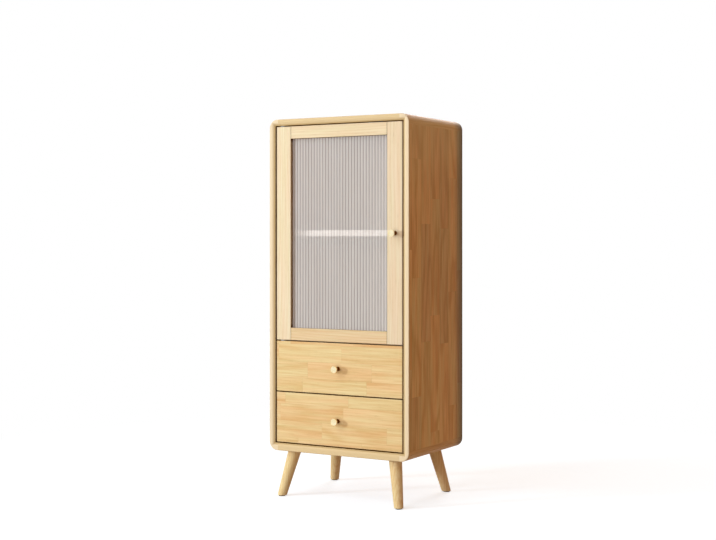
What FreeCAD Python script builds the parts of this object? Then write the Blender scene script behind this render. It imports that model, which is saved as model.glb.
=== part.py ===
import FreeCAD, Part
import math
import os
import re
import Sketcher

# Display cabinet on splayed legs: a round-cornered wooden case with a glazed door above two drawers.
# Millimetres, +Z up, front towards -Y. The origin is on the floor, under the middle of the whole outline.

SIZES = {
    # Case
    "case_w": 500,
    "case_d": 370,
    "case_h": 1046,
    "panel_t": 20,
    "base_t": 24,
    "corner_r": 28,
    "corner_land": 4,
    "edge_r": 2.5,
    "bevel_w": 10,
    "bevel_d": 4,
    "back_t": 5,
    "back_set": 10,
    "groove_deep": 6,
    "groove_clear": 0.2,
    "divider_t": 18,
    "divider_set": 3,
    # Dowels in the seams of the case
    "dowel_d": 8,
    "dowel_len": 30,
    "dowel_edge": 55,
    "dowel_clear": 0.15,
    # Shelf and its pins
    "shelf_t": 19,
    "shelf_drop": 350,
    "shelf_set": 20,
    "shelf_clear": 1,
    "shelf_back": 3,
    "pin_d": 6,
    "pin_out": 9,
    "pin_in": 10,
    "pin_edge": 40,
    "pin_pitch": 32,
    # Legs
    "leg_h": 144,
    "leg_top_d": 41,
    "leg_foot_d": 28.5,
    "splay_x": 29,
    "splay_y": 32,
    "foot_side": 40,
    "foot_front": 11,
    "foot_back": 36,
    "bolt_d": 8,
    "bolt_in_leg": 40,
    "bolt_in_case": 11,
    "insert_d": 13,
    "insert_len": 15,
    "glide_d": 20,
    "glide_t": 3,
    "glide_pin_d": 4,
    "glide_pin_len": 12,
    # Door and drawer fronts
    "front_recess": 5,
    "front_t": 20,
    "front_r": 1.5,
    "gap": 3,
    "drawer_h": 158.5,
    # Door frame and glass
    "stile_w": 53.5,
    "rail_h": 39,
    "rebate_w": 10,
    "lip_t": 12,
    "glass_t": 5,
    "glass_clear": 1,
    "flute_pitch": 10.4,
    "flute_land": 0.6,
    "flute_deep": 1.2,
    "bead_w": 9,
    "frame_dowel_d": 6,
    "frame_dowel_len": 40,
    "frame_dowel_edge": 9,
    "frame_dowel_step": 12,
    # Door pivots
    "pivot_in": 20,
    "pivot_deep": 10,
    "pivot_d": 6,
    "pivot_reach": 16,
    "pivot_fit": 0.1,
    "plate_t": 2,
    "plate_w": 18,
    "plate_len": 60,
    "plate_screw_first": 28,
    "plate_screw_step": 20,
    "bush_d": 10,
    "bush_len": 18,
    "bush_flange_d": 15,
    # Magnetic catch
    "catch_side": 110,
    "catch_w": 30,
    "catch_d": 15,
    "catch_t": 14,
    "ear_w": 10,
    "ear_t": 3,
    "strike_w": 24,
    "strike_h": 12,
    "strike_t": 1.5,
    "strike_drop": 3,
    # Countersunk wood screws
    "screw_d": 3.5,
    "screw_head_d": 7,
    "screw_head_t": 2,
    "screw_len": 14,
    # Knobs and their screws
    "knob_len": 27,
    "knob_head_d": 21,
    "knob_head_t": 6,
    "knob_neck_d": 9,
    "knob_base_d": 13,
    "knob_base_t": 3,
    "knob_edge": 0.8,
    "knob_bore": 14,
    "bolt4_d": 4,
    "bolt4_head_d": 8,
    "bolt4_head_t": 2.5,
    # Drawer boxes
    "side_t": 12,
    "side_h": 110,
    "side_lift": 18,
    "box_len": 310,
    "housing": 8,
    "bottom_t": 5,
    "bottom_lift": 8,
    "bottom_groove": 6,
    "back_housing": 4,
    "back_in": 8,
    # Drawer runners: outer, middle and inner rail nested in one another
    "runner_space": 12.7,
    "runner_h": 45,
    "rail_len": 300,
    "rail_set": 3,
    "rail_gauge": 1.2,
    "rail_clear": 0.4,
    "rail_web_gap": 0.8,
    "rail_screw_in": 40,
}

# Places that follow from the sizes, written as expressions of them
PLACES = {
    "front_y": "-(case_d + front_recess - knob_len) / 2",
    "back_y": "front_y + case_d",
    "face_y": "front_y + front_recess",
    "behind_y": "face_y + front_t",
    "case_top": "leg_h + case_h",
    "half_w": "case_w / 2",
    "half_in": "case_w / 2 - panel_t",
    "corner": "corner_r + corner_land",
    "floor_in": "leg_h + base_t",
    "roof_in": "leg_h + case_h - panel_t",
    "back_face": "back_y - back_set - back_t",
    "front_w": "case_w - 2 * panel_t - 2 * gap",
    "lower_z": "floor_in + gap",
    "upper_z": "lower_z + drawer_h + gap",
    "plate_clear": "(gap - plate_t) / 2",
    "divider_z": "upper_z + drawer_h + plate_clear",
    "door_z": "upper_z + drawer_h + gap",
    "door_h": "roof_in - gap - door_z",
    "divider_y": "behind_y + divider_set",
    "shelf_z": "case_top - shelf_drop - shelf_t",
    "shelf_y": "behind_y + shelf_set",
    "shelf_len": "back_face - shelf_back - shelf_y",
    "pivot_x": "pivot_in - front_w / 2",
    "pivot_y": "face_y + pivot_deep",
    "glass_x": "front_w / 2 - stile_w + rebate_w - glass_clear",
    "flutes": "floor(2 * glass_x / flute_pitch)",
    "flute_run": "(flute_pitch - flute_land) / 2",
    "flute_r": "(flute_run ^ 2 + flute_deep ^ 2) / (2 * flute_deep)",
    "leg_axis": "sqrt(splay_x ^ 2 + splay_y ^ 2 + leg_h ^ 2)",
    "leg_more": "leg_top_d / 3",
    "side_x": "half_in - runner_space",
    "rail_y": "behind_y + rail_set",
    "middle_h": "runner_h - 2 * rail_gauge - 2 * rail_clear",
    "inner_h": "middle_h - 2 * rail_gauge - 2 * rail_clear",
}

TURN = {
    "+x": FreeCAD.Rotation(FreeCAD.Vector(0, 1, 0), 90),
    "-x": FreeCAD.Rotation(FreeCAD.Vector(0, 1, 0), -90),
    "+y": FreeCAD.Rotation(FreeCAD.Vector(1, 0, 0), -90),
    "-y": FreeCAD.Rotation(FreeCAD.Vector(1, 0, 0), 90),
    "+z": FreeCAD.Rotation(),
    "-z": FreeCAD.Rotation(FreeCAD.Vector(1, 0, 0), 180),
}
TOUCH = 0.01
SIDES = {"left": -1, "right": 1}

doc = FreeCAD.newDocument("display_cabinet")
sheet = doc.addObject("Spreadsheet::Sheet", "Sizes")
for row, (alias, size) in enumerate(SIZES.items(), start=1):
    sheet.set(f"A{row}", alias)
    sheet.set(f"B{row}", str(size))
    sheet.setAlias(f"B{row}", alias)
doc.recompute()
nodes = {}


def ex(text):
    """Expression with the places opened up and each size read from its cell."""
    def swap(match):
        word = match.group(0)
        if word in PLACES:
            return "(" + ex(PLACES[word]) + ")"
        return "Sizes." + word if word in SIZES else word
    return re.sub(r"[a-z_][a-z_0-9]*", swap, text)


def num(text):
    return float(sheet.evalExpression(ex(text)))


def put(thing, place):
    for axis, text in zip("xyz", place):
        thing.setExpression("Placement.Base." + axis, ex(text))
    return thing


def node(label, thing):
    """Name a finished piece; its label names its file."""
    thing.Label = label
    nodes[label] = thing
    return thing


def box(label, size, place):
    thing = doc.addObject("Part::Box", label)
    for prop, text in zip(("Length", "Width", "Height"), size):
        thing.setExpression(prop, ex(text))
    return put(thing, place)


def rod(label, diameter, length, place, turn="+z"):
    thing = doc.addObject("Part::Cylinder", label)
    thing.Placement.Rotation = TURN[turn]
    thing.setExpression("Radius", ex(f"({diameter}) / 2"))
    thing.setExpression("Height", ex(length))
    return put(thing, place)


def cone(label, low_d, high_d, length, place, turn="+z"):
    thing = doc.addObject("Part::Cone", label)
    thing.Placement.Rotation = TURN[turn]
    thing.setExpression("Radius1", ex(f"({low_d}) / 2"))
    thing.setExpression("Radius2", ex(f"({high_d}) / 2"))
    thing.setExpression("Height", ex(length))
    return put(thing, place)


def group(label, things):
    thing = doc.addObject("Part::Compound", label)
    thing.Links = things
    return thing


def fuse(label, things):
    thing = doc.addObject("Part::MultiFuse", label)
    thing.Shapes = things
    return thing


def common(label, base, tool):
    thing = doc.addObject("Part::Common", label)
    thing.Base = base
    thing.Tool = tool
    return thing


def cut(label, base, tools):
    thing = doc.addObject("Part::Cut", label)
    thing.Base = base
    thing.Tool = group(label + "_tools", tools)
    return thing


def origin_plane(body, role):
    return [plane for plane in body.Origin.OriginFeatures if plane.Role == role][0]


def outline(body, label, plane, points, rounds=None):
    """Closed sketch through points; rounds gives an edge's radius, below zero where it bends inwards."""
    rounds = rounds or {}
    sketch = body.newObject("Sketcher::SketchObject", label)
    sketch.AttachmentSupport = [(origin_plane(body, plane), "")]
    sketch.MapMode = "FlatFace"
    spots = [FreeCAD.Vector(num(across), num(up), 0) for across, up in points]
    count = len(spots)
    area = sum(spots[i - 1].x * spots[i].y - spots[i].x * spots[i - 1].y for i in range(count))
    starts = {}
    for i, spot in enumerate(spots):
        after = spots[(i + 1) % count]
        starts[i] = 1
        if i not in rounds:
            sketch.addGeometry(Part.LineSegment(spot, after))
            continue
        radius = num(rounds[i])
        chord = after - spot
        inward = FreeCAD.Vector(-chord.y, chord.x, 0).normalize() * math.copysign(1, area * radius)
        middle = (spot + after) / 2 + inward * math.sqrt(radius ** 2 - chord.Length ** 2 / 4)
        ends = [spot, after]
        if area * radius < 0:
            ends.reverse()
            starts[i] = 2
        angles = [math.atan2(end.y - middle.y, end.x - middle.x) for end in ends]
        circle = Part.Circle(middle, FreeCAD.Vector(0, 0, 1), abs(radius))
        sketch.addGeometry(Part.ArcOfCircle(circle, *angles))
        mark = sketch.addConstraint(Sketcher.Constraint("Radius", i, abs(radius)))
        sketch.setExpression(f"Constraints[{mark}]", ex(f"abs({rounds[i]})"))
    for i, point in enumerate(points):
        after = (i + 1) % count
        sketch.addConstraint(Sketcher.Constraint("Coincident", i, 3 - starts[i], after, starts[after]))
        for kind, text in zip(("DistanceX", "DistanceY"), point):
            mark = sketch.addConstraint(Sketcher.Constraint(kind, -1, 1, i, starts[i], num(text)))
            sketch.setExpression(f"Constraints[{mark}]", ex(text))
    return sketch


def prism(label, plane, points, length, place, rounds=None):
    """Body padded from an outline: along +Y from the XZ plane, +X from YZ, +Z from XY."""
    body = doc.addObject("PartDesign::Body", label)
    pad = body.newObject("PartDesign::Pad", label + "_pad")
    pad.Profile = outline(body, label + "_outline", plane, points, rounds)
    pad.setExpression("Length", ex(length))
    pad.Reversed = plane == "XZ_Plane"
    body.Tip = pad
    put(body, place)
    doc.recompute()
    return body


def turned(label, points, place, rounds=None):
    """Body turned about its own Y axis from an outline of radius and height."""
    body = doc.addObject("PartDesign::Body", label)
    spin = body.newObject("PartDesign::Revolution", label + "_turn")
    spin.Profile = outline(body, label + "_outline", "XY_Plane", points, rounds)
    spin.ReferenceAxis = (spin.Profile[0], ["V_Axis"])
    spin.Angle = 360
    body.Tip = spin
    return put(body, place)


def round_edges(body, radius, wanted):
    """Fillet on the body's tip along the edges that wanted picks by their middle point."""
    solid = body.Tip
    names = []
    for i, edge in enumerate(solid.Shape.Edges, start=1):
        middle = edge.valueAt((edge.FirstParameter + edge.LastParameter) / 2)
        if wanted(edge, middle):
            names.append(f"Edge{i}")
    fillet = body.newObject("PartDesign::Fillet", body.Name + "_round")
    fillet.Base = (solid, names)
    fillet.setExpression("Radius", ex(radius))
    body.Tip = fillet
    return body


def rectangle(left, low, right, high):
    return [(left, low), (right, low), (right, high), (left, high)]


def screw(label, place, turn, length="screw_len"):
    """Countersunk screw with its head flush at place, pointing along turn."""
    head = cone(label + "_head", "screw_head_d", "screw_d", "screw_head_t", place, turn)
    shank = rod(label + "_shank", "screw_d", length, place, turn)
    return fuse(label, [head, shank])


# Case: eight boards round the opening, all trimmed by the same bevel and back-panel groove

bevel = doc.addObject("Part::Wedge", "opening_bevel")
BEVEL = {
    "Xmin": "-half_in - bevel_w", "Xmax": "half_in + bevel_w", "X2min": "-half_in", "X2max": "half_in",
    "Zmin": "floor_in - bevel_w", "Zmax": "roof_in + bevel_w", "Z2min": "floor_in", "Z2max": "roof_in",
    "Ymin": "0", "Ymax": "bevel_d",
}
for prop, text in BEVEL.items():
    bevel.setExpression(prop, ex(text))
put(bevel, ("0", "front_y", "0"))
groove = box(
    "back_groove",
    ("2 * half_in + 2 * groove_deep", "back_t + 2 * groove_clear", "roof_in - floor_in + 2 * groove_deep"),
    ("-half_in - groove_deep", "back_face - groove_clear", "floor_in - groove_deep"),
)
slack = "groove_deep - groove_clear"
node("back_panel", box(
    "back_panel",
    (f"2 * half_in + 2 * ({slack})", "back_t", f"roof_in - floor_in + 2 * ({slack})"),
    (f"-half_in - ({slack})", "back_face", f"floor_in - ({slack})"),
))

dowels = []
drilled = {}


def dowel(pieces, place, turn, reach):
    """Dowel centred on a seam, or with reach before it, and its hole in the named pieces."""
    name = f"dowel_{len(dowels)}"
    axis = "xyz".index(turn[1])
    start = list(place)
    start[axis] = f"{place[axis]} - ({reach})"
    dowels.append(rod(name, "dowel_d", "dowel_len", start, turn))
    start[axis] = f"{start[axis]} - dowel_clear"
    hole = rod(name + "_hole", "dowel_d + 2 * dowel_clear", "dowel_len + 2 * dowel_clear", start, turn)
    for piece in pieces:
        drilled.setdefault(piece, []).append(hole)


DOWEL_ROWS = ("front_y + dowel_edge", "front_y + case_d / 2", "back_y - dowel_edge - back_set")
ENDS = {"top": 1, "bottom": -1}
for end, up in ENDS.items():
    board_z = "case_top - panel_t / 2" if up > 0 else "leg_h + base_t / 2"
    seam_z = "case_top - corner" if up > 0 else "leg_h + corner"
    for side, out in SIDES.items():
        block = f"corner_{end}_{side}"
        for y in DOWEL_ROWS:
            level = (f"{out} * (half_w - corner)", y, board_z)
            upright = (f"{out} * (half_w - panel_t / 2)", y, seam_z)
            dowel((block, f"{end}_panel"), level, "+x", "dowel_len / 2")
            dowel((block, f"{side}_side"), upright, "+z", "dowel_len / 2")
divider_mid = "divider_z - divider_t / 2"
for side, out in SIDES.items():
    reach = "dowel_len - 0.6 * panel_t" if out > 0 else "0.6 * panel_t"
    for y in ("divider_y + dowel_edge", "back_face - dowel_edge"):
        dowel((f"{side}_side", "divider"), (f"{out} * half_in", y, divider_mid), "+x", reach)
node("case_dowels", group("case_dowels", dowels))

# Shelf pins, with a row of spare holes above and below each pin

pins = []
pin_z = "shelf_z - pin_d / 2"
for side, out in SIDES.items():
    turn = "+x" if out > 0 else "-x"
    for n, y in enumerate(("shelf_y + pin_edge", "shelf_y + shelf_len - pin_edge")):
        start = (f"{out} * (half_in - pin_out)", y, pin_z)
        pins.append(rod(f"pin_{side}_{n}", "pin_d", "pin_out + pin_in", start, turn))
        for step in (-2, -1, 0, 1, 2):
            hole = rod(
                f"pin_hole_{side}_{n}_{step + 2}", "pin_d + 2 * dowel_clear", "pin_in + dowel_clear",
                (f"{out} * half_in", y, f"{pin_z} + {step} * pin_pitch"), turn,
            )
            drilled[f"{side}_side"].append(hole)
node("shelf_pins", group("shelf_pins", pins))
node("shelf", box(
    "shelf", ("2 * half_in - 2 * shelf_clear", "shelf_len", "shelf_t"),
    ("shelf_clear - half_in", "shelf_y", "shelf_z"),
))

# Legs: tapered and splayed, cut level at the glide and under the case

FEET = {"front": ("front_y + foot_front", -1), "back": ("back_y - foot_back", 1)}
leg_slab = box(
    "leg_slab", ("2 * case_w", "2 * case_d", "leg_h - glide_t"),
    ("-case_w", "front_y - case_d / 2", "glide_t"),
)
insert_slab = box(
    "insert_slab", ("2 * case_w", "2 * case_d", "insert_len"),
    ("-case_w", "front_y - case_d / 2", "leg_h"),
)
bolts = []
sockets = []
inserts = []
glides = []


def along_leg(thing, side, ahead, height):
    """Lay a turned piece along a leg's axis, starting where the axis is at the given height."""
    foot_y, back = FEET[ahead]
    out = SIDES[side]
    share = f"({height}) / leg_h"
    put(thing, (
        f"{out} * (half_w - foot_side) - {out} * splay_x * {share}",
        f"{foot_y} - {back} * splay_y * {share}",
        height,
    ))
    thing.setExpression("Placement.Rotation.Axis.x", ex(f"{back} * splay_y"))
    thing.setExpression("Placement.Rotation.Axis.y", ex(f"{-out} * splay_x"))
    thing.setExpression("Placement.Rotation.Axis.z", "0")
    thing.setExpression("Placement.Rotation.Angle", ex("acos(leg_h / leg_axis)"))
    return thing


nowhere = ("0", "0", "0")
grow = "(leg_top_d - leg_foot_d) * leg_more / leg_h"
for ahead in FEET:
    for side in SIDES:
        name = f"leg_{ahead}_{side}"
        blank = cone(
            name + "_blank", f"leg_foot_d - {grow}", f"leg_top_d + {grow}",
            "leg_axis * (1 + 2 * leg_more / leg_h)", nowhere,
        )
        along_leg(blank, side, ahead, "-leg_more")
        bolt = rod(name + "_bolt", "bolt_d", "(bolt_in_leg + bolt_in_case) * leg_axis / leg_h", nowhere)
        along_leg(bolt, side, ahead, "leg_h - bolt_in_leg")
        bolts.append(bolt)
        plug = rod(name + "_plug", "insert_d", "3 * insert_len", nowhere)
        along_leg(plug, side, ahead, "leg_h - insert_len")
        socket = common(name + "_socket", plug, insert_slab)
        sockets.append(socket)
        inserts.append(cut(name + "_insert", socket, [bolt]))
        foot = (f"{SIDES[side]} * (half_w - foot_side)", FEET[ahead][0], "0")
        disc = rod(name + "_disc", "glide_d", "glide_t", foot)
        nail = rod(name + "_nail", "glide_pin_d", "glide_t + glide_pin_len", foot)
        glides.append(fuse(name + "_glide", [disc, nail]))
        node(name, cut(name, common(name + "_level", blank, leg_slab), [bolt, nail]))
node("leg_bolts", group("leg_bolts", bolts))
node("leg_inserts", group("leg_inserts", inserts))
node("foot_glides", group("foot_glides", glides))

# Door pivots: a plate under the top panel and one on the divider, each with a pin


def pivot(label, plate_z, up):
    """Plate with its pivot pin and two screws; up is the way the pin points."""
    turn = "+z" if up > 0 else "-z"
    back = "-z" if up > 0 else "+z"
    tongue = box(
        label + "_tongue", ("plate_w", "plate_len", "plate_t"),
        ("pivot_x - plate_w / 2", "pivot_y", plate_z),
    )
    nose = rod(label + "_nose", "plate_w", "plate_t", ("pivot_x", "pivot_y", plate_z))
    root = plate_z if up > 0 else f"{plate_z} + plate_t"
    reach = "plate_t + plate_clear + pivot_reach"
    pin = rod(label + "_pin", "pivot_d", reach, ("pivot_x", "pivot_y", root), turn)
    head_z = f"{plate_z} + plate_t" if up > 0 else plate_z
    screws = []
    for n in range(2):
        y = f"pivot_y + plate_screw_first + {n} * plate_screw_step"
        screws.append(screw(f"{label}_screw_{n}", ("pivot_x", y, head_z), back))
    node(label + "_plate", cut(label + "_plate", fuse(label + "_blank", [tongue, nose]), [pin] + screws))
    return pin, screws


low_pin, low_screws = pivot("bottom_pivot", "divider_z", 1)
high_pin, high_screws = pivot("top_pivot", "roof_in - plate_t", -1)
node("pivot_pins", group("pivot_pins", [low_pin, high_pin]))
node("pivot_screws", group("pivot_screws", low_screws + high_screws))
node("divider", cut("divider", box(
    "divider_board", ("2 * half_in", "back_face - divider_y", "divider_t"),
    ("-half_in", "divider_y", "divider_z - divider_t"),
), drilled["divider"] + low_screws))

# Magnetic catch under the top panel, met by a strike plate on the door

catch_x = "half_in - catch_side"
catch_y = "behind_y + strike_t"
catch_body = box(
    "catch_body", ("catch_w", "catch_d", "catch_t"),
    (f"{catch_x} - catch_w / 2", catch_y, "roof_in - catch_t"),
)
catch_ears = box(
    "catch_ears", ("catch_w + 2 * ear_w", "catch_d", "ear_t"),
    (f"{catch_x} - catch_w / 2 - ear_w", catch_y, "roof_in - ear_t"),
)
catch_screws = []
for side, out in SIDES.items():
    ear = (f"{catch_x} + {out} * (catch_w + ear_w) / 2", f"{catch_y} + catch_d / 2", "roof_in - ear_t")
    catch_screws.append(screw(f"catch_screw_{side}", ear, "+z"))
node("magnet_catch", cut("magnet_catch", fuse("catch_blank", [catch_body, catch_ears]), catch_screws))
node("catch_screws", group("catch_screws", catch_screws))
node("strike_plate", box(
    "strike_plate", ("strike_w", "strike_t", "strike_h"),
    (f"{catch_x} - strike_w / 2", "behind_y", "roof_in - gap - strike_drop - strike_h"),
))

# Runner rails: channels that nest, the outer on the case, the inner on the drawer

rail_screws = []


def channel(label, out, web_x, lip_x, height, middle_z):
    """Rail with its web at web_x and its two lips reaching to lip_x."""
    inside = "-" if num(f"abs({web_x}) - abs({lip_x})") > 0 else "+"
    web = f"({web_x}) {inside} rail_gauge"
    half = f"({height}) / 2"
    points = [
        (web_x, f"-{half}"), (lip_x, f"-{half}"),
        (lip_x, f"rail_gauge - {half}"), (web, f"rail_gauge - {half}"),
        (web, f"{half} - rail_gauge"), (lip_x, f"{half} - rail_gauge"),
        (lip_x, half), (web_x, half),
    ]
    if out < 0:
        points = [(f"-({across})", up) for across, up in points]
    return prism(label, "XZ_Plane", points, "rail_len", ("0", "rail_y", middle_z))


def runners(drawer, middle_z):
    """Both runners of a drawer; returns the inner rails and their screws."""
    outer, middle, inner, screws = [], [], [], []
    for side, out in SIDES.items():
        turn = "+x" if out > 0 else "-x"
        away = "-x" if out > 0 else "+x"
        name = f"{drawer}_{side}"
        middle_web = "half_in - rail_gauge - rail_web_gap"
        inner_lip = f"{middle_web} - rail_gauge - rail_web_gap"
        lip = "side_x + rail_gauge + rail_clear"
        blank = channel(name + "_outer", out, "half_in", lip, "runner_h", middle_z)
        middle.append(channel(name + "_middle", out, middle_web, lip, "middle_h", middle_z))
        drawer_rail = channel(name + "_inner", out, "side_x", inner_lip, "inner_h", middle_z)
        held, riding = [], []
        for n, y in enumerate(("rail_y + rail_screw_in", "rail_y + rail_len - rail_screw_in")):
            spot = (f"{out} * (half_in - rail_gauge)", y, middle_z)
            held.append(screw(f"{name}_case_screw_{n}", spot, turn))
            spot = (f"{out} * (side_x + rail_gauge)", y, middle_z)
            riding.append(screw(f"{name}_box_screw_{n}", spot, away, "rail_gauge + 0.7 * side_t"))
        outer.append(cut(name + "_outer_rail", blank, held))
        inner.append(cut(name + "_inner_rail", drawer_rail, riding))
        drilled[f"{side}_side"].extend(held)
        rail_screws.extend(held)
        screws.append(riding)
    node(f"{drawer}_outer_rails", group(f"{drawer}_outer_rails", outer))
    node(f"{drawer}_middle_rails", group(f"{drawer}_middle_rails", middle))
    node(f"{drawer}_inner_rails", group(f"{drawer}_inner_rails", inner))
    node(f"{drawer}_box_screws", group(f"{drawer}_box_screws", screws[0] + screws[1]))
    return dict(zip(SIDES, screws))


# Knobs: a flat disc head on a slim neck, held by a screw from behind


def knob(label, x, z):
    """Knob on a front at x, z with its screw; returns the screw."""
    shoulder = "-(knob_len - knob_head_t)"
    points = [
        ("bolt4_d / 2", "0"),
        ("knob_base_d / 2", "0"),
        ("knob_base_d / 2", "-knob_edge"),
        ("knob_neck_d / 2", "-knob_base_t"),
        ("knob_neck_d / 2", f"{shoulder} + knob_base_t"),
        ("knob_head_d / 2 - knob_edge", shoulder),
        ("knob_head_d / 2", f"{shoulder} - knob_edge"),
        ("knob_head_d / 2", "knob_edge - knob_len"),
        ("knob_head_d / 2 - knob_edge", "-knob_len"),
        ("0", "-knob_len"),
        ("0", "-knob_bore"),
        ("bolt4_d / 2", "-knob_bore"),
    ]
    node(label + "_knob", turned(label + "_knob", points, (x, "face_y", z)))
    stem = rod(label + "_stem", "bolt4_d", "front_t + knob_bore", (x, "behind_y", z), "-y")
    head = rod(label + "_pan", "bolt4_head_d", "bolt4_head_t", (x, "behind_y", z), "+y")
    return node(label + "_knob_screw", fuse(label + "_knob_screw", [stem, head]))


# Drawers: a front on a housed box, carried by the runners


def drawer(label, z):
    box_z = f"{z} + side_lift"
    rear = "behind_y + box_len - back_in"
    screws = runners(label, f"{box_z} + side_h / 2")
    tongue = "side_x - side_t + bottom_groove"
    base = node(f"{label}_drawer_bottom", box(
        f"{label}_drawer_bottom", (f"2 * ({tongue})", f"{rear} - behind_y + bottom_groove", "bottom_t"),
        (f"-({tongue})", "behind_y - bottom_groove", f"{box_z} + bottom_lift"),
    ))
    back_w = "side_x - side_t + back_housing"
    above = "bottom_lift + bottom_t"
    rear_board = node(f"{label}_drawer_back", box(
        f"{label}_drawer_back", (f"2 * ({back_w})", "side_t", f"side_h - {above}"),
        (f"-({back_w})", f"{rear} - side_t", f"{box_z} + {above}"),
    ))
    walls = []
    for side, out in SIDES.items():
        left = "side_x - side_t" if out > 0 else "-side_x"
        wall = box(
            f"{label}_{side}_wall", ("side_t", "box_len + housing", "side_h"),
            (left, "behind_y - housing", box_z),
        )
        name = f"{label}_drawer_{side}"
        walls.append(node(name, cut(name, wall, [base, rear_board] + screws[side])))
    stem = knob(f"{label}_drawer", "0", f"{z} + drawer_h / 2")
    face = rectangle("-front_w / 2", "0", "front_w / 2", "drawer_h")
    front = prism(f"{label}_front_board", "XZ_Plane", face, "front_t", ("0", "face_y", z))
    round_edges(front, "front_r", lambda edge, middle: abs(middle.y) < TOUCH)
    node(f"{label}_drawer_front", cut(f"{label}_drawer_front", front, walls + [base, stem]))


drawer("lower", "lower_z")
drawer("upper", "upper_z")
node("rail_screws", group("rail_screws", rail_screws))

# Case boards, now that everything that is let into them is known

half_w = num("half_w")
case_top = num("case_top")
case_low = num("leg_h")
drilled["top_panel"].extend(high_screws + catch_screws)
drilled["bottom_panel"].extend(sockets)


def outside(edge, middle):
    """Front and back edges that lie on the outer face of the case."""
    if edge.BoundBox.YLength > TOUCH:
        return False
    round_edge = isinstance(edge.Curve, Part.Circle)
    on_side = abs(abs(middle.x) - half_w) < TOUCH
    return round_edge or on_side or abs(middle.z - case_top) < TOUCH or abs(middle.z - case_low) < TOUCH


def case_board(label, points, rounds=None):
    body = prism(label + "_board", "XZ_Plane", points, "case_d", ("0", "front_y", "0"), rounds)
    round_edges(body, "edge_r", outside)
    node(label, cut(label, body, [bevel, groove] + drilled[label]))


for end, up in ENDS.items():
    thick = "panel_t" if up > 0 else "base_t"
    low = "case_top - panel_t" if up > 0 else "leg_h"
    case_board(f"{end}_panel", rectangle("corner - half_w", low, "half_w - corner", f"{low} + {thick}"))
    for side, out in SIDES.items():
        edge = "case_top" if up > 0 else "leg_h"
        profile = [
            ("half_w - corner", thick), ("half_w - panel_t", thick), ("half_w - panel_t", "corner"),
            ("half_w", "corner"), ("half_w", "corner_r"),
            ("half_w - corner_r", "0"), ("half_w - corner", "0"),
        ]
        points = [(f"{out} * ({across})", f"{edge} - {up} * ({deep})") for across, deep in profile]
        case_board(f"corner_{end}_{side}", points, {4: "corner_r"})
for side, out in SIDES.items():
    left = "half_in" if out > 0 else "-half_w"
    case_board(f"{side}_side", rectangle(left, "leg_h + corner", f"{left} + panel_t", "case_top - corner"))

# Door frame: rails coped round the stiles, with the glass in a rebate behind the lip

frame_dowels = []
frame_holes = []
for end in ENDS:
    for side, out in SIDES.items():
        for n in range(2):
            deep = f"frame_dowel_edge + {n} * frame_dowel_step"
            z = f"door_z + door_h - ({deep})" if end == "top" else f"door_z + {deep}"
            seam = f"{out} * (front_w / 2 - stile_w)"
            name = f"frame_dowel_{end}_{side}_{n}"
            start = (f"{seam} - frame_dowel_len / 2", "face_y + lip_t / 2", z)
            frame_dowels.append(rod(name, "frame_dowel_d", "frame_dowel_len", start, "+x"))
            start = (f"{seam} - frame_dowel_len / 2 - dowel_clear", "face_y + lip_t / 2", z)
            frame_holes.append(rod(
                name + "_hole", "frame_dowel_d + 2 * dowel_clear", "frame_dowel_len + 2 * dowel_clear",
                start, "+x",
            ))
node("door_dowels", group("door_dowels", frame_dowels))


def door_rim(edge, middle):
    """Front edges of a stile on the outside of the door."""
    on_side = abs(abs(middle.x) - num("front_w / 2")) < TOUCH
    on_end = abs(middle.z) < TOUCH or abs(middle.z - num("door_h")) < TOUCH
    return abs(middle.y) < TOUCH and (on_side or on_end)


bushes = []
bush_holes = []
for end, up in ENDS.items():
    edge = "door_z + door_h" if up > 0 else "door_z"
    turn = "-z" if up > 0 else "+z"
    sleeve = rod(f"bush_{end}", "bush_d", "bush_len", ("pivot_x", "pivot_y", edge), turn)
    flange = rod(
        f"bush_flange_{end}", "bush_flange_d", "plate_clear", ("pivot_x", "pivot_y", edge),
        "+z" if up > 0 else "-z",
    )
    bore = rod(
        f"bush_bore_{end}", "pivot_d + 2 * pivot_fit", "bush_len + plate_clear",
        ("pivot_x", "pivot_y", f"{edge} + {up} * plate_clear"), turn,
    )
    bushes.append(cut(f"bush_bored_{end}", fuse(f"bush_solid_{end}", [sleeve, flange]), [bore]))
    bush_holes.append(rod(
        f"bush_hole_{end}", "bush_d + 2 * dowel_clear", "bush_len + dowel_clear",
        ("pivot_x", "pivot_y", edge), turn,
    ))
node("pivot_bushes", group("pivot_bushes", bushes))

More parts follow.
